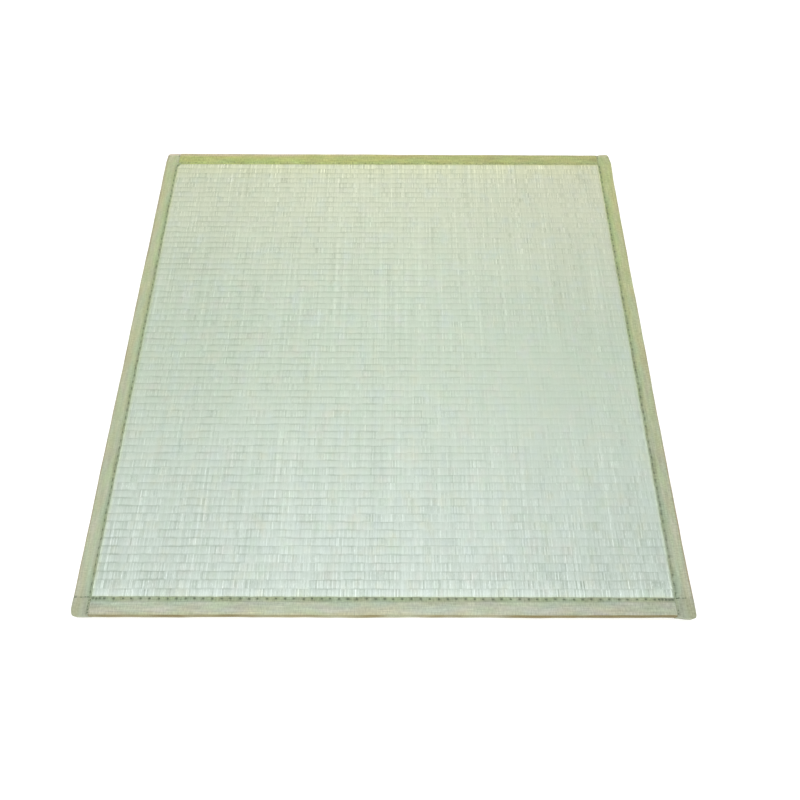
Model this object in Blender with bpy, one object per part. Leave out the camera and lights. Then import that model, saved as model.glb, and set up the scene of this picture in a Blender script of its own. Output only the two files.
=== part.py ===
"""Square tatami mat lying flat: a woven rush panel with a cloth binding sewn round its rim.

Metres, +Z up. The origin is at the centre of the underside. The rush runs along Y, from the front
edge at -Y to the back edge at +Y, and the rows of the weave run across it, along X.
"""

from math import cos, pi, radians, sin, sqrt

import bmesh
import bpy

# The mat
SIDE = 0.820             # outer width and depth
HEIGHT = 0.0150          # floor to the crown of the bindings
FACE_HEIGHT = 0.0134     # floor to the top of the woven rows
HALF = SIDE / 2
GAP = 0.0003             # space between neighbouring pieces

# The woven rows
ROW_COUNT = 68           # rows between the front and the back binding
ROW_DEPTH = 0.0007       # how far the warp draws the rush down between two rows
ROW_PROFILE = (          # share of a row's width, share of its depth
    (0.00, 1.00),
    (0.14, 0.20),
    (0.50, 0.00),
    (0.86, 0.20),
)

# The bindings
BINDING_WIDTH = 0.024    # how far a binding reaches in over the rush
CLOTH = 0.0012           # cloth thickness
LIP_HEIGHT = 0.0140      # top of the sewn-down inner edge
STITCH_DIP = 0.0003      # how far the stitch line is drawn down below the lip
SQUARE_RAISE = 0.0005    # how much higher the doubled cloth of a corner square is
CROWN_HEIGHT = HEIGHT - SQUARE_RAISE  # top of a binding between the corner squares
SIDE_ROUND = 0.0030      # rounding of a binding's upper outer edge
EDGE_STEP = 0.0001       # how far the flap falls from its crown to that rounding
FOOT_ROUND = 0.0008      # rounding of its lower outer edge
CORNER_ROUND = 0.0050    # radius of the mat's four corners, seen from above
END_DROP = 0.8           # share of the edge rounding that the end of a side binding gets
SEAM_WIDTH = 0.0016      # width of the drawn-in seam beside a corner square
ARC_STEPS = 5            # faces in each quarter round
FLAP_TOP = (             # distance in from the mat's edge, height above the floor
    (BINDING_WIDTH, LIP_HEIGHT),           # inner edge
    (0.0221, LIP_HEIGHT - STITCH_DIP),     # stitch line
    (0.0194, LIP_HEIGHT),                  # crease
    (0.0175, CROWN_HEIGHT - 0.0003),       # swell
    (0.0110, CROWN_HEIGHT),
    (0.0040, CROWN_HEIGHT),
)

# Heights inside the mat's rim, where the panel is pressed thinner to sit within the folded cloth
SLOT_BOTTOM = CLOTH
SLOT_TOP = LIP_HEIGHT - CLOTH
RIM_BOTTOM = SLOT_BOTTOM + GAP
RIM_TOP = SLOT_TOP - GAP
SLOT_HALF = HALF - CLOTH
RIM_HALF = SLOT_HALF - GAP
OPEN_HALF = HALF - BINDING_WIDTH      # the rush shows within this distance of the middle
FIELD_HALF = OPEN_HALF - GAP

SHARP_ANGLE = radians(35)             # edges above this angle stay sharp when shaded
RUSH_COLOUR = (0.63, 0.72, 0.60)      # linear
CLOTH_COLOUR = (0.45, 0.53, 0.31)


def clear_scene():
    for obj in list(bpy.data.objects):
        bpy.data.objects.remove(obj, do_unlink=True)


def make_material(name, colour, roughness):
    mat = bpy.data.materials.new(name)
    mat.use_nodes = True
    shader = mat.node_tree.nodes["Principled BSDF"]
    shader.inputs["Base Color"].default_value = (*colour, 1.0)
    shader.inputs["Roughness"].default_value = roughness
    shader.inputs["Metallic"].default_value = 0.0
    mat.diffuse_color = (*colour, 1.0)
    return mat


def add_object(name, bm, material=None):
    """Turns a bmesh into a named object with its faces pointing out."""
    bmesh.ops.recalc_face_normals(bm, faces=bm.faces)
    mesh = bpy.data.meshes.new(name)
    bm.to_mesh(mesh)
    bm.free()
    mesh.shade_smooth()
    mesh.set_sharp_from_angle(angle=SHARP_ANGLE)
    obj = bpy.data.objects.new(name, mesh)
    bpy.context.scene.collection.objects.link(obj)
    if material:
        mesh.materials.append(material)
    return obj


def hide_tool(obj):
    obj.hide_render = True
    obj.display_type = "WIRE"


def combine(obj, tool, operation):
    """Adds tool to obj, or cuts tool out of it, with an exact Boolean."""
    modifier = obj.modifiers.new(operation.lower(), "BOOLEAN")
    modifier.operation = operation
    modifier.solver = "EXACT"
    modifier.object = tool
    hide_tool(tool)


def loft(rings):
    """A closed body through rings of points; every ring has the same number of points."""
    bm = bmesh.new()
    loops = [[bm.verts.new(point) for point in ring] for ring in rings]
    count = len(loops[0])
    for near, far in zip(loops, loops[1:]):
        for i in range(count):
            j = (i + 1) % count
            bm.faces.new((near[i], near[j], far[j], far[i]))
    bm.faces.new(loops[0])
    bm.faces.new(loops[-1])
    return bm


def round_rectangle(half, radius):
    """Points round a square of the given half side, with rounded corners, seen from above."""
    points = []
    for corner in range(4):
        turn = corner * pi / 2
        for step in range(ARC_STEPS + 1):
            angle = step * pi / 2 / ARC_STEPS
            x = half - radius + radius * cos(angle)
            y = half - radius + radius * sin(angle)
            points.append((x * cos(turn) - y * sin(turn), x * sin(turn) + y * cos(turn)))
    return points


def round_plate(name, half, radius, bottom, top, material=None):
    outline = round_rectangle(half, radius)
    rings = [[(x, y, z) for x, y in outline] for z in (bottom, top)]
    return add_object(name, loft(rings), material)


# The rush panel

def row_line():
    """(y, z) along the top of the woven field, front to back."""
    pitch = 2 * OPEN_HALF / ROW_COUNT
    line = [(-FIELD_HALF, FACE_HEIGHT - ROW_DEPTH)]
    for row in range(ROW_COUNT):
        start = -OPEN_HALF + row * pitch
        for share, depth in ROW_PROFILE[0 if row else 1:]:
            line.append((start + share * pitch, FACE_HEIGHT - depth * ROW_DEPTH))
    line.append((FIELD_HALF, FACE_HEIGHT - ROW_DEPTH))
    return line


def make_panel():
    """The woven field, full height, joined to the thinner rim that the bindings hold."""
    section = row_line() + [(FIELD_HALF, 0.0), (-FIELD_HALF, 0.0)]
    rings = [[(x, y, z) for y, z in section] for x in (-FIELD_HALF, FIELD_HALF)]
    rush = make_material("rush", RUSH_COLOUR, 0.65)
    panel = add_object("rush_panel", loft(rings), rush)
    corner = CORNER_ROUND - CLOTH - GAP
    rim = round_plate("rim_tool", RIM_HALF, corner, RIM_BOTTOM, RIM_TOP)
    combine(panel, rim, "UNION")
    return panel


# The bindings

def quarter(distance, radius):
    """How far a quarter round of this radius lies in from its tangent, at a distance along it."""
    if distance >= radius:
        return 0.0
    return radius - sqrt(radius * radius - (radius - distance) ** 2)


def binding_section(edge_in=0.0, raise_by=0.0, drop=0.0):
    """(distance in from the mat's edge, z) round a binding's outside, as if it were solid.

    edge_in moves the outer edge in, raise_by lifts the flap and drop lowers it at the end of a strip.
    """
    top = list(FLAP_TOP)
    for step in range(ARC_STEPS + 1):
        angle = step * pi / 2 / ARC_STEPS
        across = SIDE_ROUND * (1 - sin(angle))
        top.append((across, CROWN_HEIGHT - EDGE_STEP - SIDE_ROUND * (1 - cos(angle))))
    foot = [
        (0.0, FOOT_ROUND),
        (quarter(FOOT_ROUND / 2, FOOT_ROUND), FOOT_ROUND / 2),
        (FOOT_ROUND, 0.0),
        (BINDING_WIDTH, 0.0),
    ]
    points = [(d, z + raise_by - drop) for d, z in top] + foot
    squeeze = (BINDING_WIDTH - edge_in) / BINDING_WIDTH
    return [(BINDING_WIDTH - (BINDING_WIDTH - d) * squeeze, z) for d, z in points]


def cut_slot(binding):
    """Hollows a binding so that it folds round the panel's rim."""
    slot = round_plate(
        binding.name + "_slot", SLOT_HALF, CORNER_ROUND - CLOTH, SLOT_BOTTOM, SLOT_TOP
    )
    combine(binding, slot, "DIFFERENCE")


def side_stations():
    """(y, section settings) along a side binding: a rounded end, a corner square, a seam, the run."""
    near_end = []
    for step in range(ARC_STEPS + 1):
        along = CORNER_ROUND * (1 - cos(step * pi / 2 / ARC_STEPS))
        settings = dict(
            edge_in=quarter(along, CORNER_ROUND),
            raise_by=SQUARE_RAISE,
            drop=quarter(along, SIDE_ROUND) * END_DROP,
        )
        near_end.append((along, settings))
    near_end += [
        (BINDING_WIDTH - SEAM_WIDTH, dict(raise_by=SQUARE_RAISE)),
        (BINDING_WIDTH, dict(raise_by=-STITCH_DIP)),
        (BINDING_WIDTH + SEAM_WIDTH, dict()),
    ]
    front = [(-HALF + along, settings) for along, settings in near_end]
    back = [(HALF - along, settings) for along, settings in reversed(near_end)]
    return front + back


def make_side_binding(name, side, material):
    """side is -1 for the left rim and 1 for the right rim."""
    rings = []
    for y, settings in side_stations():
        ring = [(side * (HALF - d), y, z) for d, z in binding_section(**settings)]
        rings.append(ring)
    binding = add_object(name, loft(rings), material)
    cut_slot(binding)
    return binding


def make_end_binding(name, side, material):
    """side is -1 for the front rim and 1 for the back rim."""
    section = binding_section()
    rings = [
        [(x, side * (HALF - d), z) for d, z in section]
        for x in (-OPEN_HALF + GAP, OPEN_HALF - GAP)
    ]
    binding = add_object(name, loft(rings), material)
    cut_slot(binding)
    return binding


def main():
    clear_scene()
    make_panel()
    cloth = make_material("binding_cloth", CLOTH_COLOUR, 0.85)
    make_side_binding("binding_left", -1, cloth)
    make_side_binding("binding_right", 1, cloth)
    make_end_binding("binding_front", -1, cloth)
    make_end_binding("binding_back", 1, cloth)


main()
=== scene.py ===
"""Looks of a square tatami mat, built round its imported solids: woven rush, folded cloth and sewing.

Metres, +Z up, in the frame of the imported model. The rush runs along Y and the rows of the weave
run along X. Every piece lies in the space of the solid that it stands for.
"""

from collections import namedtuple
from math import ceil, cos, pi, radians, sin, sqrt

import bpy
import numpy as np
from mathutils import Matrix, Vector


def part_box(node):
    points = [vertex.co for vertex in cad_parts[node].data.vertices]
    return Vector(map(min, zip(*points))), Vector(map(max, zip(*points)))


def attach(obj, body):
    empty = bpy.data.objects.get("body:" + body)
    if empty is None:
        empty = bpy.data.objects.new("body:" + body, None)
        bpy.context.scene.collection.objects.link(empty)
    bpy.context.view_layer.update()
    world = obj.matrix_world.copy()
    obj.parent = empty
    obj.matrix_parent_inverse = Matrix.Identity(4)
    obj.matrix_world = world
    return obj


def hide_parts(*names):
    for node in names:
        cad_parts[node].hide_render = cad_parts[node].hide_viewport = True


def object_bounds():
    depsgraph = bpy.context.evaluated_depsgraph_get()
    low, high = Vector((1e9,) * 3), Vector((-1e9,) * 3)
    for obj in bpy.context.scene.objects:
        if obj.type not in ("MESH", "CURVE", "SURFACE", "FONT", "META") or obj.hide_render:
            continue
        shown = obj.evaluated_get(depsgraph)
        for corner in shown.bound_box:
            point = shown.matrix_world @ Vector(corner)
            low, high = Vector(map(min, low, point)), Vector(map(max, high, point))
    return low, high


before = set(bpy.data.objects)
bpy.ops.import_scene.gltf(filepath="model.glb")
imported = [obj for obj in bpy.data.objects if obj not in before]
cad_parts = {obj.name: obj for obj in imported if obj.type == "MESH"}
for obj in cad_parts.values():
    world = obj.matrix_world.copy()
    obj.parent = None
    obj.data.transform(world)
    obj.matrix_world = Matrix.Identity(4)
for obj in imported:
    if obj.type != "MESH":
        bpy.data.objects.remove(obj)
CAD_LOW, CAD_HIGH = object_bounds()

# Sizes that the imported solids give
HALF = CAD_HIGH.x  # half the mat's width
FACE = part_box("rush_panel")[1].z  # top of the woven rows
RIM_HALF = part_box("rush_panel")[1].x  # half width of the panel's hidden rim
OPEN_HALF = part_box("binding_right")[0].x  # the rush shows this far from the middle
END_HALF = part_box("binding_front")[1].x  # half length of the front and back strips
WIDTH = HALF - OPEN_HALF  # width of a binding

# The rush panel
CLOTH = 0.0012  # cloth thickness of a binding
FIT = 0.0003  # space between the panel's rim and the cloth round it
RIM_BOTTOM = CLOTH + FIT
SLOT_TOP = 0.0128  # floor to the underside of the flap
BED = 0.0118  # floor to the underside of the weave
BED_GAP = 0.0001  # the plain body ends this far below it
RIM_CORNER = 0.006  # rounding of the rim's corners

# The weave
ROWS = 68  # rows between the front and the back binding
STRAWS = 386  # straws side by side in a row
ROW_SHARES = (0.0, 0.11, 0.48, 0.88)  # places along a row, as shares of its width
ROW_DEPTHS = (1.0, 0.24, 0.0, 0.2)  # depth there, as a share of the groove's depth
GROOVE = 0.00056  # depth of the grooves between the rows
GROOVE_PATCH = 0.95  # share by which that varies from place to place
GROOVE_RIGHT = 0.5  # share of it left near the right side, which is pressed flatter
STRAW_DIP = 0.00024  # depth of the valley between two straws
STRAW_UNEVEN = 0.00012  # how far a straw lies above its neighbours
LINE_WAVE = 0.0004  # how far a groove strays from a straight line
STRAW_WAVE = 0.00035  # and how far a straw does
TUCK = 0.003  # how far the weave goes on under the bindings
TUCK_HEIGHT = 0.01262  # floor to the weave where it is pressed under them
PRESS_REACH = 0.0042  # it comes down to that over this distance
WEAVE_PIECES = 3  # it is built as this many bands

# The bindings: distance in from the mat's edge, height above the floor, along the top of the flap
FLAP = (
    (0.024, 0.013), (0.02392, 0.01345), (0.0236, 0.01378), (0.02305, 0.01388),  # rounded edge
    (0.02255, 0.0138), (0.0221, 0.01368), (0.02165, 0.01378),  # dip of the stitch line
    (0.0211, 0.01386), (0.0201, 0.01384), (0.01945, 0.0138),  # lip and crease
    (0.0191, 0.01402), (0.0187, 0.01432), (0.0179, 0.01444),  # step up to the flap
    (0.015, 0.0145), (0.011, 0.0145),  # crown
    (0.007, 0.01449), (0.004, 0.01442), (0.003, 0.01436),
)
STITCH_LINE = 0.0221  # in from the mat's edge
STITCH_HEIGHT = 0.01368  # floor to the cloth there
STEP = 0.0191  # foot of the step up to the flap
CREASE = 0.0195  # the crown's unevenness ends here
SIDE_ROUND = 0.003  # rounding of the upper outer edge
FOOT_ROUND = 0.0008  # rounding of the lower outer edge
WALL_POINTS = 4  # points down the outer side
FOOT_POINTS = 3  # points across the underside
ARC_STEPS = 6  # faces in each quarter round
SQUARE_RAISE = 0.0005  # how much higher a corner square is
SEAM_WIDTH = 0.0018  # half width of the seam beside it
STATION = 0.00125  # spacing of the sections along a binding
PUCKER = 0.0003  # how far each stitch draws the cloth down
PUCKER_REACH = 0.0018  # how far round a stitch that reaches
LIP_SCALLOP = 0.00015  # how much further down the lip's edge goes there
LIP_WAVE = 0.00045  # unevenness of the lip's inner edge
END_TUCK = 0.0004  # how far the ends of the front and back strips are pressed down
END_TUCK_REACH = 0.003  # over this distance
CROWN_WAVE = 0.00016  # unevenness of the flap's height
EDGE_WAVE = 0.00045  # unevenness of the mat's outer edge
CORNER_FOLD = 0.005  # how far the lip is folded across the weave's back left corner
FOLD_REACH = 0.009  # the fold grows over this distance
SHIFT_SPREAD = 0.018  # how far across a strip its corner squares' shifts reach
ENDWAYS_REACH = 0.015  # how far along it their endways shift reaches
LIP_SHIFT_REACH = 0.012  # the lip reaches its own line this far from them
RIM_INSET = 0.0015  # the rim keeps this much further in than its solid

# How far each corner square stands out sideways (over the last stretch of its binding), leans in
# again at its end and stands out endways, how far its rounding reaches along the mat's side and
# end, and how deep the seam beside it is; the keys are the signs of its x and y
Corner = namedtuple("Corner", "sideways stretch lean endways reach depth seam")
CORNERS = {
    (-1, -1): Corner(-0.002, 0.011, 0.0, 0.0002, 0.005, 0.0036, 0.0007),
    (1, -1): Corner(0.0017, 0.15, 0.0, 0.0019, 0.005, 0.005, 0.0004),
    (-1, 1): Corner(-0.0015, 0.027, 0.0, -0.0004, 0.005, 0.005, 0.0003),
    (1, 1): Corner(0.0024, 0.08, 0.0034, 0.0017, 0.0055, 0.006, 0.0003),
}

# How far each binding's outer edge stands out, and how much further in than in FLAP its step, its
# stitch line and its inner edge lie, at the start and at the end of the strip
Layout = namedtuple("Layout", "outer step line edge")
LAYOUTS = {
    "left": Layout(0.0, (-0.0011, -0.0011), (-0.001, -0.001), (-0.0011, -0.0011)),
    "right": Layout(0.0, (-0.0026, -0.0006), (-0.0002, -0.0002), (-0.0004, -0.0002)),
    "front": Layout(-0.0002, (-0.0008, -0.0003), (0.0003, -0.0002), (0.0011, 0.0006)),
    "back": Layout(0.0009, (0.0, 0.0), (-0.0006, 0.0003), (-0.0016, 0.001)),
}

# The sewing
STITCH_PITCH = 0.012
LOCKS = (3, 5)  # closer stitches that lock the front seam's left and right ends
LOCK_PITCH = 0.0045
LOCK_START = 0.0025  # from the seam's end to the first of them
STITCH_STRAY = 0.0008  # how far a stitch lies from its even place
SLANT = 0.14  # how far a stitch is askew, in radians
STITCHES = {  # shortest and longest stitch, and the thread's radius
    "left": (0.0056, 0.0088, 0.00031),
    "right": (0.0056, 0.0088, 0.00029),
    "front": (0.0028, 0.0036, 0.0006),
    "back": (0.0018, 0.003, 0.00026),
}
SQUARE_ROWS = {  # over the left and the right front square: distance in and length
    -1: ((0.0036, 0.0048), (0.0112, 0.0036), (0.0166, 0.003), (0.02, 0.0022)),
    1: ((0.0102, 0.003), (0.0132, 0.0026), (0.0186, 0.003), (0.0212, 0.0024)),
}
LADDER_STEPS = {(-1, -1): 5, (1, -1): 2, (-1, 1): 2, (1, 1): 3}  # in the seam beside a square
LADDER_PITCH = 0.004
LADDER_STITCH = (0.0028, 0.00045)  # its length and radius
SQUARE_THREAD = 0.0005  # radius of the stitches over a square
THREAD_RINGS = 9
THREAD_SIDES = 8

# The studio; the camera was found from the mat's four edges in the photograph
FLOOR_HALF = 4.0
FLOOR_DROP = 0.0004  # the floor lies this far below the mat's underside
CAMERA_AT = (0.0188, -0.5175, 0.893)
CAMERA_PITCH = 64.39  # degrees below the horizon
CAMERA_YAW = -0.401  # degrees
CAMERA_ROLL = 0.523  # degrees
CAMERA_LENS = 28.9  # mm, with a sensor 36 mm wide


# Helpers for shapes

def ripple(t, seed, waves):
    """A smooth uneven line: a sum of sines with random phases, waves being (length, height)."""
    phases = np.random.default_rng(seed).uniform(0, 2 * pi, len(waves))
    return sum(
        height * np.sin(2 * pi * t / length + phase)
        for (length, height), phase in zip(waves, phases)
    )


def patches(x, y, size, seed):
    """Smooth random values from -1 to 1 over the plane, in patches about as large as size."""
    count = 128
    grid = np.random.default_rng(seed).uniform(-1, 1, (count, count))
    u = x / size[0] + count / 2
    v = y / size[1] + count / 2
    column = np.floor(u).astype(int)
    line = np.floor(v).astype(int)
    right_share = smooth_step(u - column)
    far_share = smooth_step(v - line)

    def beside(step):
        near = grid[line % count, (column + step) % count]
        far = grid[(line + 1) % count, (column + step) % count]
        return near * (1 - far_share) + far * far_share

    return beside(0) * (1 - right_share) + beside(1) * right_share


def smooth_step(t):
    t = np.clip(t, 0, 1)
    return t * t * (3 - 2 * t)


def quarter(distance, radius):
    """How far a quarter round lies in from its tangent, at a distance along it from its start."""
    return radius - sqrt(radius * radius - max(0.0, radius - distance) ** 2)


def add_object(name, data):
    obj = bpy.data.objects.new(name, data)
    bpy.context.scene.collection.objects.link(obj)
    return obj


def build_mesh(name, points, faces, material, uvs=None, values=None, sharp=60):
    """An object, with the (u, v) of its points for each UV map and their numbers for each value."""
    mesh = bpy.data.meshes.new(name)
    mesh.from_pydata([tuple(p) for p in points], [], faces)
    mesh.validate()
    corners = np.zeros(len(mesh.loops), int)
    mesh.loops.foreach_get("vertex_index", corners)
    for uv_name, places in (uvs or {}).items():
        layer = mesh.uv_layers.new(name=uv_name)
        layer.data.foreach_set("uv", np.asarray(places, np.float32)[corners].ravel())
    for value_name, numbers in (values or {}).items():
        attribute = mesh.attributes.new(value_name, "FLOAT", "POINT")
        attribute.data.foreach_set("value", np.asarray(numbers, np.float32))
    mesh.materials.append(material)
    mesh.shade_smooth()
    mesh.set_sharp_from_angle(angle=radians(sharp))
    return add_object(name, mesh)


def tube_faces(rings):
    """Faces of a closed body through rings of point numbers, and of its two ends."""
    faces = [rings[0][::-1].tolist(), rings[-1].tolist()]
    for near, far in zip(rings, rings[1:]):
        faces += np.stack([near, np.roll(near, -1), np.roll(far, -1), far], axis=1).tolist()
    return faces


# Helpers for materials

def operator(operation):
    """A method of Value that does one kind of sum."""
    return lambda value, *others: value.calc(operation, value, *others)


class Value:
    """An output of a node in a material. Arithmetic with it adds the nodes that work it out."""

    def __init__(self, graph, socket):
        self.calc = graph.calc
        self.socket = socket

    def __rsub__(self, other):
        return self.calc("SUBTRACT", other, self)

    __add__ = operator("ADD")
    __sub__ = operator("SUBTRACT")
    __mul__ = operator("MULTIPLY")
    __truediv__ = operator("DIVIDE")
    __abs__ = operator("ABSOLUTE")


class Graph:
    """A material and short ways to add nodes to it."""

    def __init__(self, name, roughness):
        self.material = bpy.data.materials.new(name)
        self.material.use_nodes = True
        self.tree = self.material.node_tree
        self.shader = self.tree.nodes["Principled BSDF"]
        self.surface({"Roughness": roughness})

    def feed(self, socket, value):
        if isinstance(value, Value):
            self.tree.links.new(value.socket, socket)
        elif socket.type == "RGBA":
            socket.default_value = (*value, 1.0)
        else:
            socket.default_value = value

    def surface(self, inputs):
        """Feeds the inputs of the material's shader, by name."""
        for name, value in inputs.items():
            self.feed(self.shader.inputs[name], value)

    def node(self, kind, inputs, output=0, **settings):
        node = self.tree.nodes.new(kind)
        for key, value in settings.items():
            setattr(node, key, value)
        for key, value in inputs.items():
            self.feed(node.inputs[key], value)
        return Value(self, node.outputs[output])

    def calc(self, operation, *values):
        return self.node("ShaderNodeMath", dict(enumerate(values)), operation=operation)

    def band(self, value, start, end, low=0.0, high=1.0):
        """Goes smoothly from low to high as value goes from start to end."""
        inputs = {0: value, 1: start, 2: end, 3: low, 4: high}
        return self.node("ShaderNodeMapRange", inputs, interpolation_type="SMOOTHSTEP")

    def split(self, vector):
        """The first two parts of a vector."""
        return [self.node("ShaderNodeSeparateXYZ", {0: vector}, output) for output in (0, 1)]

    def uv(self, name):
        """(u, v) of a UV map."""
        return self.split(self.node("ShaderNodeUVMap", {}, uv_map=name))

    def place(self):
        """(x, y) in the mat's frame, in metres."""
        return self.split(self.node("ShaderNodeTexCoord", {}, "Object"))

    def value(self, name):
        """A number that the mesh gives for each of its points."""
        return self.node("ShaderNodeAttribute", {}, "Fac", attribute_name=name)

    def join(self, x, y, z=0.0):
        return self.node("ShaderNodeCombineXYZ", {0: x, 1: y, 2: z})

    def noise(self, x, y, detail=2.0, seed=0):
        """Soft random values, about 0.5 on average, that change over one unit of x and y."""
        inputs = {"Vector": self.join(x, y, seed), "Scale": 1.0, "Detail": detail}
        return self.node("ShaderNodeTexNoise", inputs)

    def random(self, x, y, seed=0):
        """A random value from 0 to 1 for each whole x and y."""
        inputs = {"Vector": self.join(x, y, seed)}
        return self.node("ShaderNodeTexWhiteNoise", inputs)

    def mix(self, share, low, high):
        """The colour low, with a share of the colour high."""
        inputs = {0: share, 6: low, 7: high}
        return self.node("ShaderNodeMix", inputs, 2, data_type="RGBA", clamp_factor=True)

    def tint(self, colour, share):
        """The colour with its red, green and blue multiplied by those of another."""
        return self.node("ShaderNodeVectorMath", {0: colour, 1: share}, operation="MULTIPLY")

    def scale(self, colour, value):
        """The colour made lighter or darker by a value."""
        return self.tint(colour, self.join(value, value, value))

    def bump(self, height, distance, strength):
        inputs = {"Height": height, "Distance": distance, "Strength": strength}
        self.surface({"Normal": self.node("ShaderNodeBump", inputs)})


# The rush's material

RUSH_FRONT = (0.586, 0.672, 0.607)  # its colour at the front edge
RUSH_DYES = (  # what that turns to, from which y and to which y
    ((0.544, 0.632, 0.513), -0.36, 0.02),
    ((0.618, 0.664, 0.502), 0.02, 0.36),
    ((0.646, 0.684, 0.472), 0.33, 0.386),
)
RUSH_HUES = (  # colours of single straws (pink, yellow, green, blue), seed
    ((0.61, 0.61, 0.55), 1),
    ((0.62, 0.65, 0.49), 2),
    ((0.51, 0.65, 0.51), 3),
    ((0.54, 0.63, 0.61), 4),
)
RUSH_WARM = (1.035, 1.005, 1.0)  # the back right part is a little redder
PALING = (1.02, 0.95, 1.05)  # lighter tones are also whiter and darker ones greener, in the straws and in the painted shade alike
CLOTH_GLOW = (1.0, 1.0, 0.9)  # painted light reflected from the cloth onto the rush beside it
GLOW_REACH = 0.005  # how far that reaches
SMOOTH_PATCH = (0.235, -0.07)  # x and y of the middle of the smoothest part
STREAK = 0.22  # how much lighter or darker long streaks of straws are
CELL = 0.055  # the same for a straw in one row
GROUP = 0.03  # for a few straws in one row
FIBRE = 0.12  # for the fibres of a straw
FLECK = 0.15  # for flecks a third of a row long
CLOUD = 0.06  # and for wide clouds over the whole mat

# Where a point lies: x and y in metres, across in straws (shifted in odd rows) and along in rows
Spot = namedtuple("Spot", "x y across along row odd shifted straw to_front")


def rush_dye_and_glow(g, at):
    """Cool at the front and warmer towards the back, with straws of other hues in loose patches, and
    a painted reflection of the cloth's light beside the bindings.
    """
    dye = RUSH_FRONT
    for colour, start, end in RUSH_DYES:
        dye = g.mix(g.band(at.y, start, end), dye, colour)
    warm = g.band(at.x, 0.1, 0.38) * g.band(at.y, 0.0, 0.1)
    dye = g.mix(warm, dye, g.tint(dye, RUSH_WARM))
    fewer = g.band(g.band(at.y, 0.02, 0.36), 0.0, 1.0, 1.0, 0.6)
    for hue, seed in RUSH_HUES:
        patch = g.noise(at.x * 38.0, at.y * 30.0, seed=seed)
        cell = g.random(at.straw, at.row, seed=seed)
        share = g.band(patch, 0.48, 0.78) * g.band(cell, 0.0, 1.0, 0.22, 0.44) * fewer
        dye = g.mix(share, dye, hue)
    # Painted light reflected from the cloth makes the rush beside the bindings yellower
    from_middle = g.calc("MAXIMUM", abs(at.x), abs(at.y))
    beside = g.band(from_middle, OPEN_HALF - GLOW_REACH, OPEN_HALF)
    return g.mix(beside, dye, g.tint(dye, CLOTH_GLOW))


def rush_vigour(g, at):
    """How much the straws differ: most at the front edge, least in one patch at the right."""
    behind = g.band(at.y, 0.08, 0.32)
    to_rear = behind * 0.35 + g.band(at.y, 0.28, 0.38, 0.0, 0.4)
    still = (1.0 - at.to_front - behind) * g.band(at.x, 0.02, 0.22, 0.0, 0.08)
    vigour = at.to_front * 0.28 + 1.06 + to_rear - still
    off_x = at.x - SMOOTH_PATCH[0]
    off_y = at.y - SMOOTH_PATCH[1]
    away = g.calc("SQRT", off_x * off_x + off_y * off_y)
    vigour *= g.band(away, 0.05, 0.12, 0.45, 1.0)
    vigour += g.band(at.y, -OPEN_HALF + 0.045, -OPEN_HALF + 0.008, 0.0, 0.75)
    vigour += g.band(at.y, OPEN_HALF - 0.016, OPEN_HALF - 0.003, 0.0, 0.4)
    stretch = g.noise(at.shifted * 0.11, at.row * 0.71, seed=22)
    quiet = g.noise(at.x * 19.0, at.y * 24.0, seed=23)
    calm = g.band(stretch, 0.36, 0.64, -0.55, 0.55) + g.band(quiet, 0.36, 0.64, -0.2, 0.2)
    calm *= g.band(at.to_front, 0.0, 1.0, 1.0, 0.55)
    return vigour * (calm + 1.0)


def rush_relief(g, at, cell, fibre):
    """How light a straw is: over its length, over some rows of it, in one row, and in groups."""
    whole = g.random(at.straw, at.odd, seed=11)
    life = g.noise(at.straw * 1.37, at.odd * 40.5 + at.row * 0.085, detail=0.0, seed=21)
    streak = g.noise(at.across * 0.62, at.along * 0.034, seed=17)
    group = g.noise(at.shifted * 0.37, at.along * 0.8, seed=13)
    fleck = g.noise(at.shifted * 1.3, at.along * 3.0, seed=19)
    relief = g.band(whole, 0.84, 1.0, 0.0, 0.04) + g.band(whole, 0.0, 0.15, -0.03, 0.0)
    relief += g.band(life, 0.3, 0.7, -0.03, 0.03)
    relief += g.band(streak, 0.6, 0.72, 0.0, 0.045)
    relief += g.band(fleck, 0.58, 0.78, 0.0, 0.07)
    relief += (streak + cell - 1.0) * at.to_front * 0.05
    shares = ((streak, STREAK), (cell, CELL), (group, GROUP), (fibre, FIBRE), (fleck, FLECK))
    for value, share in shares:
        relief += (value - 0.5) * share
    return relief


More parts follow.
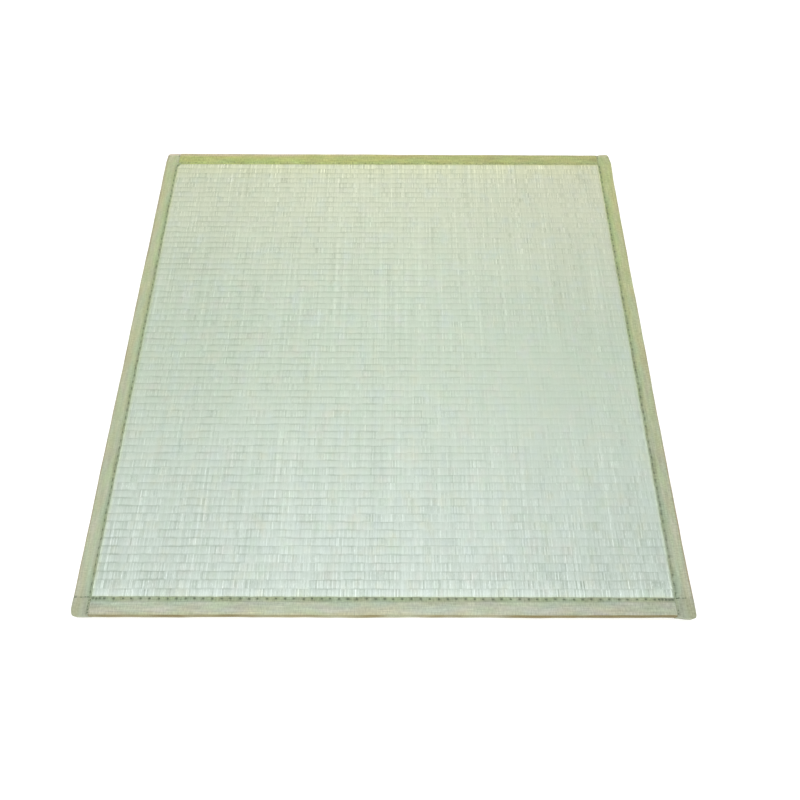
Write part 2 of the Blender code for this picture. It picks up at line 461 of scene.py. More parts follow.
def make_rush():
    """Pale blue-green woven rush. Its UV map 'weave' counts straws across and rows along."""
    g = Graph("rush", roughness=0.58)
    x, y = g.place()
    across, along = g.uv("weave")
    row = g.calc("FLOOR", along)
    odd = g.calc("MODULO", row, 2.0)
    shifted = odd * 0.5 + across
    to_front = g.band(y, -0.15, -0.37)
    at = Spot(x, y, across, along, row, odd, shifted, g.calc("FLOOR", shifted), to_front)
    in_row = g.calc("FRACT", along)
    groove = g.band(abs(in_row - 0.5), 0.3, 0.5)
    from_crest = abs(g.calc("FRACT", shifted) - 0.5)
    cell = g.random(at.straw, row, seed=12)
    fibre = g.noise(across * 7.0, along * 0.9, seed=15)

    vigour = rush_vigour(g, at)
    relief = rush_relief(g, at, cell, fibre) * g.band(from_crest, 0.1, 0.45, 1.3, 0.5)
    relief *= 1.0 - groove * 0.4
    tone = g.noise(x * 9.0, y * 9.0, seed=14) * CLOUD + 0.943
    tone += g.noise(x * 110.0, y, seed=20) * 0.014 + relief * vigour

    # Painted light and shade: a row is painted lighter at its front end, which faces the key light,
    # with painted shade in the groove behind it and between straws
    broken = g.noise(shifted * 0.075, row * 0.75, seed=16)
    zone = g.noise(x * 7.0, y * 10.0, seed=18)
    flatter = g.calc("MAXIMUM", g.band(x, -0.05, 0.32, 1.2, 0.5), to_front * 0.85)
    strength = g.band(broken, 0.4, 0.62, -0.02, 0.13) + g.band(zone, 0.4, 0.6, 0.0, 0.04)
    strength *= flatter * (to_front * 0.2 + 1.0)
    tone = tone - groove * strength + g.band(in_row, 0.1, 0.9, 0.025, -0.025) * flatter
    tone -= g.band(from_crest, 0.26, 0.5, 0.0, 0.05) * vigour

    # Darker towards the side bindings and at the front right, lighter along the front and the back
    tone -= g.band(abs(x), 0.05, OPEN_HALF, 0.0, 0.085)
    tone += g.band(abs(x), OPEN_HALF - 0.004, OPEN_HALF, 0.0, 0.03)
    tone -= to_front * g.band(x, 0.05, 0.38, 0.0, 0.055)
    tone += g.band(y, -OPEN_HALF + 0.02, -OPEN_HALF, 0.0, 0.12)
    tone += g.band(y, OPEN_HALF - 0.022, OPEN_HALF - 0.008, 0.0, 0.03)

    shares = [(tone - 1.0) * share + 1.0 for share in PALING]
    g.surface({
        "Base Color": g.tint(rush_dye_and_glow(g, at), g.join(*shares)),
        "Roughness": cell * 0.14 + 0.5,
        "Specular IOR Level": 0.35,
    })
    g.bump(fibre, 0.00022, 0.7)
    return g.material


# The cloth's and the other materials

CLOTH_PATCHES = (  # patches of uneven dye: tints they go between, seed
    ((0.964, 1.017, 0.992), (1.036, 0.98, 0.992), 5),  # fuller green, beige
    ((1.0, 1.0, 0.935), (1.0, 1.0, 1.07), 6),  # yellow, grey
)
INNER_TINT = (0.978, 1.01, 1.0)  # the cloth is greener beside its step
OUTER_TINT = (1.034, 0.984, 1.0)  # and more beige towards the mat's edge
AGED_TINT = (1.03, 1.0, 0.8)  # the front strip is yellowed just above its rim
PALE_END_COLOUR = (0.66, 0.57, 0.45)  # the paler, pinkish ends of the back corner squares
THREAD_PITCH = 0.00066  # spacing of the threads in the binding's cloth
CLOTH_NOISES = (  # sizes along and across the strip, weight, seed
    (0.09, 0.06, 0.09, 3),
    (0.05, 0.006, 0.14, 4),
    (0.026, 0.0013, 0.21, 9),
    (0.0016, 0.006, 0.26, 10),
)
SLUB = (0.018, 0.001, 0.045)  # sizes along and across the strip, how much lighter
LIP_MOTTLE = 0.3  # how mottled the sewn lip is

# The look of one binding's cloth:
#   start, end: the crown's colour at the strip's start and end
#   turn: how far it turns from green to beige across the strip, at both ends
#   lip: the shares of its colour that the sewn lip keeps
#   sewn: how much darker it is round its stitches
#   rim: the colour painted on its outer side: painted shade with a warm painted reflection, and on
#       the back strip a paler tan
#   rim_from: how far past the crown that begins, at both ends
#   rubbed: how strongly that colour is laid on at the start, the middle and the end
#   nap: how uneven it is
#   ends: how much darker the crown is towards both ends
#   aged: how yellow it is above its rim at the start
#   line: how much darker its stitch line is
#   arch: how much painted shade darkens the crown's inner half; a share of it gives a painted
#       highlight along the step
#   frayed: how much paler the frayed threads at its end are
#   squares: the shares of its colour that its two corner squares keep
#   goes_on: the share of the lip's darkness that goes on over the front square
#   worn: how far the end of the back square turns to that paler colour
Look = namedtuple(
    "Look",
    "start end turn lip sewn rim rim_from rubbed nap "
    "ends aged line arch frayed squares goes_on worn",
    defaults=(0.0, 0.0, 0.0, 0.0, 0.0, None, 1.0, 0.0),
)


def cloth_colour(g, look, along, across, on_square, lip):
    colour = g.mix(g.band(along, -HALF, HALF), look.start, look.end)
    if look.squares:
        share = g.mix(g.calc("GREATER_THAN", along, 0.0), *look.squares)
        colour = g.mix(on_square, colour, g.tint(colour, share))
    for low, high, seed in CLOTH_PATCHES:
        patch = g.noise(along * 30.0, across * 85.0, detail=0.5, seed=seed)
        colour = g.tint(colour, g.mix(g.band(patch, 0.26, 0.74), low, high))

    # Greener beside the step, more beige towards the mat's edge, yellowed along it, another lip
    turned = g.mix(g.band(across, LIP_SPAN + 0.001, CROWN_SPAN + 0.001), INNER_TINT, OUTER_TINT)
    turn = g.band(along, -HALF, HALF, *look.turn) * (1.0 - on_square * 0.8)
    for share in (turn, turn - 1.0):
        colour = g.mix(share, colour, g.tint(colour, turned))
    aged = g.band(across, CROWN_SPAN - 0.0028, CROWN_SPAN - 0.0006)
    aged *= g.band(along, -0.2, HALF, look.aged, 0.0)
    colour = g.mix(aged, colour, g.tint(colour, AGED_TINT))
    colour = g.mix(lip, colour, g.tint(colour, look.lip))

    # The outer side takes the rim colour (painted shade with a warm painted reflection, a paler tan
    # on the back strip) unevenly, less on the front squares, and not at its foot
    shade_and_tint = g.band(g.noise(along * 12.0, 0.0, seed=7), 0.36, 0.64, -0.38, 0.38)
    start, middle, end = look.rubbed
    shade_and_tint += g.band(along, -HALF, 0.0, start, middle)
    shade_and_tint += g.band(along, 0.0, HALF, 0.0, end - middle)
    rim_from = g.band(along, -HALF, HALF, *look.rim_from)
    rim = g.band((across - CROWN_SPAN - rim_from) / (rim_from * -0.65 + 0.002), 0.0, 1.0)
    rim *= 1.0 - on_square * g.band(along, -0.1, 0.1, 0.75, 0.0)
    rim *= g.band(across, CROWN_SPAN + 0.0125, CROWN_SPAN + 0.017, 1.0, 0.0)
    colour = g.mix(rim * shade_and_tint, colour, look.rim)
    # The ends of the back corner squares turn paler and pinker
    worn = g.band(along, HALF - 0.0085, HALF - 0.0015, 0.0, look.worn)
    return g.mix(worn, colour, PALE_END_COLOUR)


def cloth_tone(g, look, along, across, on_square, lip):
    """How light the cloth is: painted shade on its crown, a painted highlight along its step, its
    stains, nap and slubs, frayed threads, lip and seams.
    """
    from_middle = abs(along)
    # Painted shade on the crown's inner half, strongest in the middle of the strip; the crown is also
    # darker towards both ends
    arch = g.band(from_middle, 0.05, 0.36, look.arch, look.arch * 0.3)
    inner = g.band(across, LIP_SPAN + 0.001, LIP_SPAN + 0.012, 1.0, 0.0)
    tone = 1.0 - arch * inner - g.band(from_middle, 0.1, HALF, 0.0, look.ends)
    # A painted highlight along the fold of the step
    from_step = abs(across - (LIP_SPAN + 0.0024))
    tone += g.band(from_step, 0.0003, 0.0013, look.arch * 0.4, 0.0)
    for along_size, across_size, weight, seed in CLOTH_NOISES:
        noise = g.noise(along / along_size, across / across_size, seed=seed)
        tone += (noise - 0.5) * (weight * look.nap)
    slub = g.noise(along / SLUB[0], across / SLUB[1], detail=0.0, seed=14)
    tone += g.band(slub, 0.6, 0.72, 0.0, SLUB[2] * look.nap)
    if look.frayed:
        thread = g.noise(along * 330.0, across * 760.0, seed=13)
        near_end = g.band(along, OPEN_HALF - 0.014, OPEN_HALF - 0.003)
        on_crown = g.band(across, LIP_SPAN, LIP_SPAN + 0.002)
        tone += g.band(thread, 0.53, 0.66, 0.0, look.frayed) * near_end * on_crown

    # The lip is mottled, has a painted highlight on its rounded edge, and is dark along its stitch
    # line and round each stitch
    mottle = g.noise(along * 260.0, across * 330.0, seed=8)
    tone += (on_square + lip) * (mottle - 0.5) * LIP_MOTTLE
    tone += g.band(across, 0.0004, 0.0016, 0.09, 0.0)
    drawn = g.noise(along * 95.0, 0.0, seed=12)
    line = g.band(abs(across - LINE_SPAN), 0.0004, 0.0017, look.line, 0.0)
    line *= g.band(drawn, 0.3, 0.7, 0.55, 1.4)
    fewer = g.band(along, -0.1, 0.1, look.goes_on - 1.0, -0.55)
    tone -= line * (on_square * fewer + 1.0)
    if look.squares:
        seam = g.band(abs(from_middle - OPEN_HALF), 0.0002, 0.002, 1.0, 0.0)
        seam *= g.band(along, -0.1, 0.1, look.goes_on * 0.2 + 0.03, 0.02)
        tone -= seam * g.band(drawn, 0.2, 0.6, 0.5, 1.2)
    return tone - g.value("sewn") * look.sewn


def make_cloth(name, look):
    """Cotton cloth of a binding. Its UV map 'strip' has metres along it and across from its lip."""
    g = Graph(name, roughness=0.88)
    along, across = g.uv("strip")
    on_square = g.band(abs(along), OPEN_HALF - 0.0002, OPEN_HALF + 0.0015)
    kept = g.band(along, -0.1, 0.1, look.goes_on * 0.6 - 1.0, -1.0)
    lip = g.band(across, LIP_SPAN + 0.0015, LIP_SPAN - 0.0019) * (on_square * kept + 1.0)
    warp, weft = (g.calc("SINE", place * (2 * pi / THREAD_PITCH)) for place in (across, along))
    weave = warp * weft
    colour = cloth_colour(g, look, along, across, on_square, lip)
    tone = cloth_tone(g, look, along, across, on_square, lip) + weave * 0.035
    g.surface({
        "Base Color": g.scale(colour, tone),
        "Sheen Weight": 0.12,
        "Sheen Roughness": 0.6,
        "Specular IOR Level": 0.25,
    })
    long_slubs = g.noise(along * 40.0, across * 900.0, seed=1)
    cross_slubs = g.noise(along * 1500.0, across * 90.0, seed=2)
    g.bump(weave * 0.5 + long_slubs * 0.8 + cross_slubs, 0.00018, 0.6)
    return g.material


def make_thread():
    """Dark green sewing thread."""
    g = Graph("sewing_thread", roughness=0.75)
    x, y = g.place()
    shade = g.noise(x * 500.0, y * 500.0)
    g.surface({"Base Color": g.mix(shade, (0.075, 0.105, 0.06), (0.19, 0.235, 0.15))})
    g.bump(shade, 0.0001, 0.5)
    return g.material


def make_floor_material():
    """Matte white studio floor, lit a little from below, with a trace of grain."""
    g = Graph("studio_floor", roughness=0.9)
    x, y = g.place()
    grain = g.noise(x * 30.0, y * 30.0)
    g.surface({
        "Base Color": g.mix(grain, (0.93, 0.93, 0.925), (0.95, 0.95, 0.945)),
        "Emission Strength": 0.28,
    })
    return g.material


# The rush panel

def round_square(half, radius):
    """Points round a square with rounded corners, seen from above."""
    points = []
    for corner in range(4):
        for step in range(ARC_STEPS + 1):
            angle = step * pi / 2 / ARC_STEPS
            x = half - radius + radius * cos(angle)
            y = half - radius + radius * sin(angle)
            turned = complex(x, y) * 1j ** corner
            points.append((turned.real, turned.imag))
    return points


def make_mat_body(material):
    """The plain body under the weave, with the thinner rim that the bindings hold."""
    field = round_square(END_HALF, FIT)
    rim = round_square(RIM_HALF - RIM_INSET, RIM_CORNER)
    levels = ((field, 0.0), (field, RIM_BOTTOM), (rim, RIM_BOTTOM), (rim, BED - BED_GAP))
    points = np.array([(x, y, z) for outline, z in levels for x, y in outline])
    faces = tube_faces(np.arange(len(points)).reshape(len(levels), -1))
    flat = points[:, :2]
    weave = (flat / OPEN_HALF + 1) / 2 * (STRAWS, ROWS)
    uvs = {"weave": weave, "OFBake": (flat / HALF + 1) / 2}
    return build_mesh("rush_mat", points, faces, material, uvs)


def weave_steps(count, shares):
    """Places of the grid's lines across count straws or rows, with the tucked-in margins."""
    margin = TUCK / (2 * OPEN_HALF) * count
    steps = [whole + share for whole in range(-2, count + 2) for share in shares]
    inside = [step for step in steps if -margin < step < count + margin]
    return np.array([-margin, *inside, count + margin])


def weave_grid():
    """Points of the whole woven face: arrays x, y, z, and the straw and row counts u, v."""
    u, v = np.meshgrid(weave_steps(STRAWS, (0.0, 0.5)), weave_steps(ROWS, ROW_SHARES))
    x = (u / STRAWS * 2 - 1) * OPEN_HALF
    y = (v / ROWS * 2 - 1) * OPEN_HALF
    row = np.floor(v + 1e-6).astype(int)

    # Pressed grooves, deeper in some places than in others
    groove = np.interp(v - row, (*ROW_SHARES, 1.0), (*ROW_DEPTHS, ROW_DEPTHS[0]))
    depth = GROOVE * (1 + GROOVE_PATCH * patches(x, y + row * 0.4, (0.016, 0.9), 21))
    depth *= 1 - (1 - GROOVE_RIGHT) * smooth_step((x + 0.08) / 0.36)

    # Round straws side by side, each row half a straw along from the last
    shifted = np.round(2 * u).astype(int) + row % 2
    between = (shifted % 2 == 0).astype(float)
    straw = shifted // 2 + 4
    lift = np.random.default_rng(22).uniform(-1, 1, (ROWS + 8, STRAWS + 12))[row + 4, straw]
    valley = STRAW_DIP * between + STRAW_UNEVEN * (1 - between) * (1 - lift)
    z = FACE - depth * groove - (1 - groove) * valley

    # Nothing in a hand-laid weave is quite straight
    waves = ((0.31, 0.45), (0.127, 0.3), (0.053, 0.25))
    for number in range(ROWS + 1):
        chosen = row == number
        y[chosen] += LINE_WAVE * ripple(x[chosen], 100 + number, waves)
    x += STRAW_WAVE * patches(x, y, (0.012, 0.05), 23)

    # It is pressed down where it goes under the bindings
    inside = OPEN_HALF - np.maximum(np.abs(x), np.abs(y))
    open_share = smooth_step(inside / PRESS_REACH)
    z = TUCK_HEIGHT + (z - TUCK_HEIGHT) * open_share
    return x, y, z, u, v


def make_weave_band(number, grid, first, last, material):
    """A closed band of the weave between two columns of the grid."""
    x, y, z, u, v = (values[:, first:last + 1] for values in grid)
    index = np.arange(x.size).reshape(x.shape)
    quads = (index[:-1, :-1], index[:-1, 1:], index[1:, 1:], index[1:, :-1])
    faces = np.stack(quads, axis=-1).reshape(-1, 4).tolist()
    ring = [*index[0, :-1], *index[:-1, -1], *index[-1, :0:-1], *index[:0:-1, 0]]
    top = np.stack([x, y, z], axis=-1).reshape(-1, 3)
    under = top[ring]
    under[:, 2] = BED
    start = len(top)
    middle = start + len(ring)
    for i, outer in enumerate(ring):
        j = (i + 1) % len(ring)
        faces.append((int(ring[j]), int(outer), start + i, start + j))
        faces.append((start + j, start + i, middle))
    points = np.concatenate([top, under, [[x.mean(), y.mean(), BED]]])
    weave = np.stack([u, v], axis=-1).reshape(-1, 2)
    weave = np.concatenate([weave, weave[ring], [[u.mean(), v.mean()]]])
    flat = points[:, :2]
    bake = (flat - flat.min(0)) / (flat.max(0) - flat.min(0))
    uvs = {"weave": weave, "OFBake": bake}
    return build_mesh(f"weave_{number}", points, faces, material, uvs)


def make_weave(material):
    grid = weave_grid()
    last = grid[0].shape[1] - 1
    cuts = [round(i * last / WEAVE_PIECES) for i in range(WEAVE_PIECES + 1)]
    return [
        make_weave_band(i + 1, grid, cuts[i], cuts[i + 1], material) for i in range(WEAVE_PIECES)
    ]


# The bindings

def outer_section(edge_in=0.0, lift=0.0, foot_lift=0.0):
    """(distance in from the mat's edge, height) round a strip's outside, from lip to underside.

    edge_in moves the outer edge in, lift raises the flap and foot_lift raises the underside.
    """
    turns = [step * pi / 2 / ARC_STEPS for step in range(1, ARC_STEPS + 1)]
    section = [(d, z + lift) for d, z in FLAP]
    centre = section[-1][1] - SIDE_ROUND
    section += [(SIDE_ROUND * (1 - sin(a)), centre + SIDE_ROUND * cos(a)) for a in turns]
    foot = FOOT_ROUND + foot_lift
    for step in range(1, WALL_POINTS + 1):
        section.append((0.0, centre + (foot - centre) * step / WALL_POINTS))
    section += [(FOOT_ROUND * (1 - cos(a)), foot - FOOT_ROUND * sin(a)) for a in turns[1::2]]
    for step in range(1, FOOT_POINTS + 1):
        share = step / FOOT_POINTS
        reach = FOOT_ROUND + (WIDTH - FOOT_ROUND) * share
        section.append((reach, foot_lift * (1 - share)))
    squeeze = (WIDTH - edge_in) / WIDTH
    return [(WIDTH - (WIDTH - d) * squeeze, z) for d, z in section]


def section_lengths(section):
    """Metres from the lip to each point of a section, along the cloth."""
    points = np.array(section)
    steps = np.hypot(*(points[1:] - points[:-1]).T)
    return np.concatenate([[0], np.cumsum(steps)])


# The corners of the inside of the folded cloth, from its lip to its underside
INSIDE = ((WIDTH, SLOT_TOP), (CLOTH, SLOT_TOP), (CLOTH, CLOTH), (WIDTH, CLOTH))

# Metres of cloth from the lip's edge to its stitch line, to the step, and to the end of the crown
SPANS = dict(zip([d for d, z in FLAP], section_lengths(FLAP)))
LINE_SPAN = SPANS[STITCH_LINE]
LIP_SPAN = SPANS[STEP]
CROWN_SPAN = SPANS[FLAP[-1][0]]


def stitch_places(half, seed, locks=(0, 0)):
    """Places of the stitches from -half to half, with as many closer ones as lock its two ends."""
    first, last = (half - LOCK_START - LOCK_PITCH * np.arange(count) for count in locks)
    start, end = (np.min(locked, initial=half) for locked in (first, last))
    count = round((start + end) / STITCH_PITCH)
    places = (np.arange(count) + 0.5) / count * (start + end) - start
    places += np.random.default_rng(seed).uniform(-STITCH_STRAY, STITCH_STRAY, count)
    return np.concatenate([-first, places, last[::-1]])


def sewn(t, d, stitches):
    """1 at a stitch, falling to 0 a few millimetres away from it."""
    near = np.min(np.abs(t - stitches))
    return np.exp(-(near / PUCKER_REACH) ** 2 - ((d - STITCH_LINE) / 0.0015) ** 2)


def flap_height(t, d, z, seed, stitches):
    """Height of the flap at t along the strip, with its stitches and swells."""
    if z < SLOT_TOP:
        return z
    swell = ripple(t, seed, ((0.19, 0.4), (0.083, 0.35), (0.031, 0.25)))
    crown = smooth_step((CREASE - d) / 0.003) * smooth_step(d / 0.004)
    lip = smooth_step((d - 0.0215) / 0.002)
    scallop = LIP_SCALLOP * sewn(t, STITCH_LINE, stitches) * lip
    return z + CROWN_WAVE * swell * crown - PUCKER * sewn(t, d, stitches) - scallop


def strip_mesh(name, stations, place, stitches, material, closed_ends):
    """The folded cloth through its stations, which are (distance along it, outer section).

    place turns that distance, the distance in from the mat's edge and the height into a point.
    Closed ends have a wall of cloth, and open ends show the fold.
    """
    last = len(stations[0][1]) - 1
    points = []
    uv = []
    pulls = []
    outer = []
    for along, section in stations:
        outer.append(len(points))
        points += [place(along, d, z) for d, z in section]
        uv += [(along, s) for s in section_lengths(section)]
        pulls += [sewn(along, d, stitches) if z > SLOT_TOP else 0.0 for d, z in section]
    reach = HALF - CLOTH if closed_ends else HALF
    rows = []
    for outer_row, (along, section) in zip(outer, stations):
        if abs(along) <= reach:
            rows.append((outer_row, len(points)))
            points += [place(along, d, z) for d, z in INSIDE]
            uv += [(along, WIDTH / 2)] * 4
            pulls += [0.0] * 4
    faces = []
    for near, far in zip(outer, outer[1:]):
        faces += [(near + k, near + k + 1, far + k + 1, far + k) for k in range(last)]
    for (near, near_in), (far, far_in) in zip(rows, rows[1:]):
        faces += [(near_in + k + 1, near_in + k, far_in + k, far_in + k + 1) for k in range(3)]
        faces.append((near, far, far_in, near_in))
        faces.append((far + last, near + last, near_in + 3, far_in + 3))
    for walls, (outer_row, inner_row), turn in (
        (outer, rows[0], 1), (outer[::-1], rows[-1], -1),
    ):
        fold = [inner_row + k for k in range(4)]
        rim = [walls[0] + k for k in range(last, -1, -1)]
        if closed_ends:
            walls = walls[:walls.index(outer_row) + 1]
            mouth = walls + [fold[0], fold[-1]] + [row + last for row in reversed(walls)]
            ends = [rim, fold, mouth]
        else:
            ends = [rim + fold]
        faces += [face[::turn] for face in ends]
    return build_mesh(name, points, faces, material, {"strip": uv}, {"sewn": pulls}, 50)


def arc_places(reach):
    """Places along a strip of the sections that round its end."""
    ends = [reach * (1 - cos(i * pi / 2 / ARC_STEPS)) for i in range(ARC_STEPS + 1)]
    return sorted({*ends, CLOTH})


def side_stations(side, seed, stitches):
    """Sections of a side strip: rounded end, raised corner square, drawn-in seam, long run."""
    front, back = CORNERS[side, -1], CORNERS[side, 1]
    start = front.reach + STATION / 2
    end = 2 * HALF - back.reach - STATION / 2
    run = np.linspace(start, end, ceil((end - start) / STATION))
    far_end = [2 * HALF - place for place in reversed(arc_places(back.reach))]
    stations = []
    for distance in (*arc_places(front.reach), *run, *far_end):
        t = distance - HALF
        from_end = min(distance, 2 * HALF - distance)
        square = smooth_step((WIDTH - from_end) / SEAM_WIDTH + 1)
        seam = np.exp(-((from_end - WIDTH) / SEAM_WIDTH) ** 2)
        drop = 0.8 * quarter(from_end, SIDE_ROUND)
        corner = front if t < 0 else back
        section = outer_section(
            edge_in=quarter(from_end * corner.depth / corner.reach, corner.depth),
            lift=SQUARE_RAISE * square - corner.seam * seam - drop,
            foot_lift=quarter(from_end, FOOT_ROUND),
        )
        stations.append((t, [(d, flap_height(t, d, z, seed, stitches)) for d, z in section]))
    return stations


def end_stations(seed, stitches):
    """Sections of the front or the back strip, which runs between the side strips."""
    stations = []
    for t in np.linspace(-END_HALF, END_HALF, ceil(2 * END_HALF / STATION)).tolist():
        tuck = END_TUCK * (1 - smooth_step((END_HALF - abs(t)) / END_TUCK_REACH))
        section = outer_section(lift=-tuck)
        stations.append((t, [(d, flap_height(t, d, z, seed, stitches)) for d, z in section]))
    return stations


def edge_wave(t, d, layout, seed):
    """How far the mat's outer edge strays outwards, fading to nothing at the inner edge."""
    wave = ripple(t, seed, ((0.27, 0.5), (0.118, 0.3), (0.047, 0.2)))
    return (layout.outer + EDGE_WAVE * wave) * (1 - d / WIDTH)


def lip_shift(t, d, layout, seed):
    """How much further in the step and the lip lie, with their uneven lines."""
    share = 0.5 + t / (2 * HALF)
    shifts = [start + (end - start) * share for start, end in layout[1:]]
    shift = np.interp(d, (0.011, STEP, STITCH_LINE, WIDTH), (0, *shifts))
    wave = LIP_WAVE * ripple(t, seed + 40, ((0.061, 0.4), (0.023, 0.35), (0.012, 0.25)))
    return shift + wave * smooth_step((d - 0.011) / 0.007)


def corner_fold(t, d):
    """How much further in the left strip's lip is folded, in front of its back corner square."""
    if t >= OPEN_HALF:
        return 0.0
    grown = smooth_step((t - OPEN_HALF) / FOLD_REACH + 1)
    return CORNER_FOLD * grown * smooth_step((d - 0.018) / 0.005)


def make_binding(name, side, seed, material):
    """The strip on one side of the mat, and where its stitches lie. side is the sign of x or y."""
    beside = name in ("left", "right")
    layout = LAYOUTS[name]
    if beside:
        stitches = stitch_places(OPEN_HALF, seed)
        stations = side_stations(side, seed, stitches)
    else:
        stitches = stitch_places(END_HALF, seed, LOCKS if side < 0 else (0, 0))
        stations = end_stations(seed, stitches)

    def end_place(t, d, z):
        outwards = edge_wave(t, d, layout, seed) - lip_shift(t, d, layout, seed)
        return -side * t, side * (HALF - d + outwards), z

    def side_place(t, d, z):
        end = 1 if t > 0 else -1
        corner = CORNERS[side, end]
        away = HALF - abs(t)
        outer = smooth_step((WIDTH - d) / SHIFT_SPREAD)
        sideways = corner.sideways * smooth_step(1 - away / corner.stretch)
        sideways -= corner.lean * smooth_step(1 - away / WIDTH)
        endways = corner.endways * smooth_step(1 - away / ENDWAYS_REACH) * outer
        run = smooth_step((OPEN_HALF - abs(t)) / LIP_SHIFT_REACH)
        inwards = run * lip_shift(t, d, layout, seed) + (corner_fold(t, d) if side < 0 else 0.0)
        x = HALF - d + edge_wave(t, d, layout, seed) + sideways * outer - inwards
        return side * x, t + end * endways, z

    place = side_place if beside else end_place
    strip = strip_mesh(f"cloth_{name}", stations, place, stitches, material, beside)
    return strip, [place(t, STITCH_LINE, STITCH_HEIGHT) for t in stitches]


# The sewing

Stitch = namedtuple("Stitch", "x y height heading length radius")


def sewing(name, stitches, material):
    """Short lengths of twisted thread, each bowed so that its ends go into the cloth."""
    share = np.repeat(np.linspace(-1, 1, THREAD_RINGS), THREAD_SIDES)
    angle = np.tile(np.arange(THREAD_SIDES) * 2 * pi / THREAD_SIDES, THREAD_RINGS)
    points = []
    faces = []
    uv = []
    for stitch in stitches:
        numbers = np.arange(share.size) + len(points)
        faces += tube_faces(numbers.reshape(THREAD_RINGS, THREAD_SIDES)[::-1])
        radius = stitch.radius
        along = share * stitch.length / 2
        bow = radius * 1.1 * (1 - abs(share) ** 2.5) - radius * 0.6
        girth = radius * (0.55 + 0.45 * np.sqrt(1 - share * share))
        girth *= 1 + 0.16 * np.cos(2 * angle + along / radius * 1.6)
        sideways = girth * np.cos(angle)
        x = stitch.x + along * cos(stitch.heading) - sideways * sin(stitch.heading)
        y = stitch.y + along * sin(stitch.heading) + sideways * cos(stitch.heading)
        points += zip(x, y, stitch.height + bow + girth * np.sin(angle))
        uv += zip(along, angle)
    return build_mesh(name, points, faces, material, {"thread": uv})


def edge_stitches(name, places, seed):
    """A stitch at each place along a binding's lip, none quite straight or quite as long."""
    shortest, longest, radius = STITCHES[name]
    heading = 0.0 if name in ("front", "back") else pi / 2
    rng = np.random.default_rng(seed)
    return [
        Stitch(
            x, y, z - PUCKER * 0.7,
            heading + rng.uniform(-SLANT, SLANT), rng.uniform(shortest, longest), radius,
        )
        for x, y, z in places
    ]


def square_stitches(x_side, y_side):
    """The row of stitches across a front corner square, and the ladder in the seam beside any."""
    rng = np.random.default_rng(60 + 2 * x_side + y_side)
    height = FLAP[-1][1] - CORNERS[x_side, y_side].seam + SQUARE_RAISE * 0.8
    made = []
    for d, length in SQUARE_ROWS[x_side] if y_side < 0 else ():
        x = x_side * (HALF - d)
        y = y_side * (OPEN_HALF + rng.uniform(-0.0004, 0.0004))
        made.append(Stitch(x, y, height, rng.uniform(-SLANT, SLANT), length, SQUARE_THREAD))
    for step in range(LADDER_STEPS[x_side, y_side]):
        x = x_side * (OPEN_HALF + 0.0014 + rng.uniform(-0.0004, 0.0004))
        y = y_side * (HALF - (step + 1) * LADDER_PITCH)
        heading = rng.uniform(0.5, 1.2)
        made.append(Stitch(x, y, STITCH_HEIGHT + SQUARE_RAISE, heading, *LADDER_STITCH))
    return made


def make_sewing(places, material):
    """The stitches of all four bindings and of the corner squares."""
    made = {}
    for number, (name, spots) in enumerate(places.items()):
        made[name] = sewing(f"stitches_{name}", edge_stitches(name, spots, 70 + number), material)
    corners = [stitch for x in (-1, 1) for y in (-1, 1) for stitch in square_stitches(x, y)]
    made["corners"] = sewing("stitches_corners", corners, material)
    return made


# Studio

def make_camera():
    data = bpy.data.cameras.new("camera")
    data.lens = CAMERA_LENS
    camera = add_object("camera", data)
    camera.matrix_world = (
        Matrix.Translation(CAMERA_AT)
        @ Matrix.Rotation(radians(CAMERA_YAW), 4, "Z")
        @ Matrix.Rotation(radians(90 - CAMERA_PITCH), 4, "X")
        @ Matrix.Rotation(radians(CAMERA_ROLL), 4, "Z")
    )
    bpy.context.scene.camera = camera


def make_light(name, place, size, power):
    """A square soft light that faces the middle of the mat."""
    data = bpy.data.lights.new(name, "AREA")
    data.size = size
    data.energy = power
    light = add_object(name, data)
    back = np.array(place) / np.linalg.norm(place)
    right = np.cross((0.0, 1.0, 0.0), back)
    right /= np.linalg.norm(right)
    columns = np.stack([right, np.cross(back, right), back], axis=1)
    turn = Matrix([list(line) for line in columns]).to_4x4()
    light.matrix_world = Matrix.Translation(place) @ turn


def make_studio():
    world = bpy.data.worlds.new("studio")
    world.use_nodes = True
    backdrop = world.node_tree.nodes["Background"]
    backdrop.inputs["Color"].default_value = (1.0, 1.0, 1.0, 1.0)
    backdrop.inputs["Strength"].default_value = 0.82
    bpy.context.scene.world = world
    make_light("key", (-0.25, -1.9, 1.9), 1.5, 14.0)
    make_light("top", (-0.2, 0.7, 2.6), 2.4, 17.0)
    bpy.context.scene.view_settings.view_transform = "Standard"
    signs = ((-1, -1), (1, -1), (1, 1), (-1, 1))
    corners = [(x * FLOOR_HALF, y * FLOOR_HALF, -FLOOR_DROP) for x, y in signs]
    floor = build_mesh("floor", corners, [(0, 1, 2, 3)], make_floor_material())


# Everything together

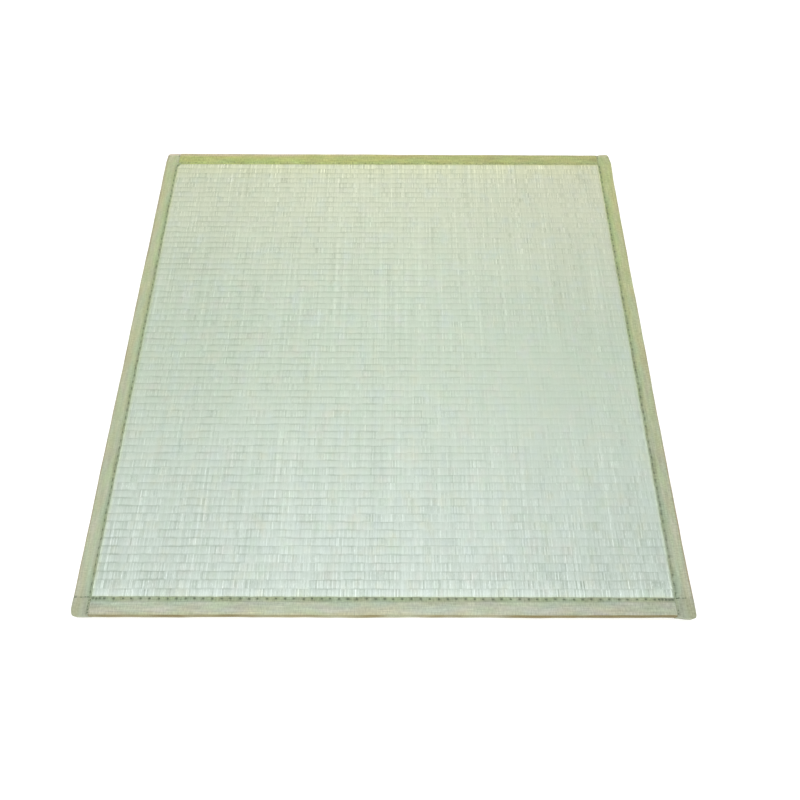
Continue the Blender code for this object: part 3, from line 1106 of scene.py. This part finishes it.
# The back strip runs from right to left, the others to the back or to the right
LOOKS = {
    "left": Look(
        start=(0.416, 0.462, 0.321), end=(0.438, 0.482, 0.282), turn=(0.8, 1.2),
        lip=(0.83, 0.86, 0.82), sewn=0.14, rim=(0.345, 0.3, 0.195),
        rim_from=(-0.0003, -0.003), rubbed=(0.8, 0.5, 0.45), nap=1.8, line=0.2,
        squares=((0.92, 0.9, 0.9), (1.05, 1.0, 1.03)), goes_on=0.7, worn=1.0,
    ),
    "right": Look(
        start=(0.394, 0.437, 0.306), end=(0.428, 0.472, 0.231), turn=(0.6, 1.2),
        lip=(0.83, 0.86, 0.85), sewn=0.14, rim=(0.325, 0.255, 0.15),
        rim_from=(-0.001, -0.001), rubbed=(0.72, 0.32, 0.12), nap=2.5, line=0.2,
        squares=((0.87, 0.86, 0.86), (0.93, 0.94, 0.96)), goes_on=0.2, worn=0.45,
    ),
    "front": Look(
        start=(0.483, 0.532, 0.402), end=(0.47, 0.508, 0.394), turn=(0.9, 0.5),
        lip=(0.8, 0.84, 0.74), sewn=0.36, rim=(0.25, 0.208, 0.088),
        rim_from=(0.0004, 0.0004), rubbed=(0.75, 0.66, 1.2), nap=2.5,
        ends=0.15, aged=0.55, arch=0.13, frayed=0.16,
    ),
    "back": Look(
        start=(0.402, 0.43, 0.178), end=(0.446, 0.484, 0.176), turn=(0.1, 1.7),
        lip=(1.0, 1.02, 1.11), sewn=0.1, rim=(0.57, 0.495, 0.32),
        rim_from=(-0.001, -0.0076), rubbed=(0.75, 0.62, 0.85), nap=3.4, ends=0.08, line=0.05,
    ),
}
SIDES = {"left": -1, "right": 1, "front": -1, "back": 1}


def make_bindings():
    """The four folded strips, and the places of the stitches on each."""
    strips = {}
    places = {}
    for seed, (name, look) in enumerate(LOOKS.items(), start=31):
        cloth = make_cloth(f"cloth_{name}", look)
        strips[name], places[name] = make_binding(name, SIDES[name], seed, cloth)
    return strips, places


def main():
    make_studio()
    make_camera()
    rush = make_rush()
    body = make_mat_body(rush)
    bands = make_weave(rush)
    strips, places = make_bindings()
    threads = make_sewing(places, make_thread())

    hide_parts("rush_panel")
    for piece in (body, *bands):
        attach(piece, "root")

    girth = section_lengths(outer_section())[-1]
    for name, strip in strips.items():
        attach(strip, "root")
        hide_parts(f"binding_{name}")
    for piece in threads.values():
        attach(piece, "root")


main()
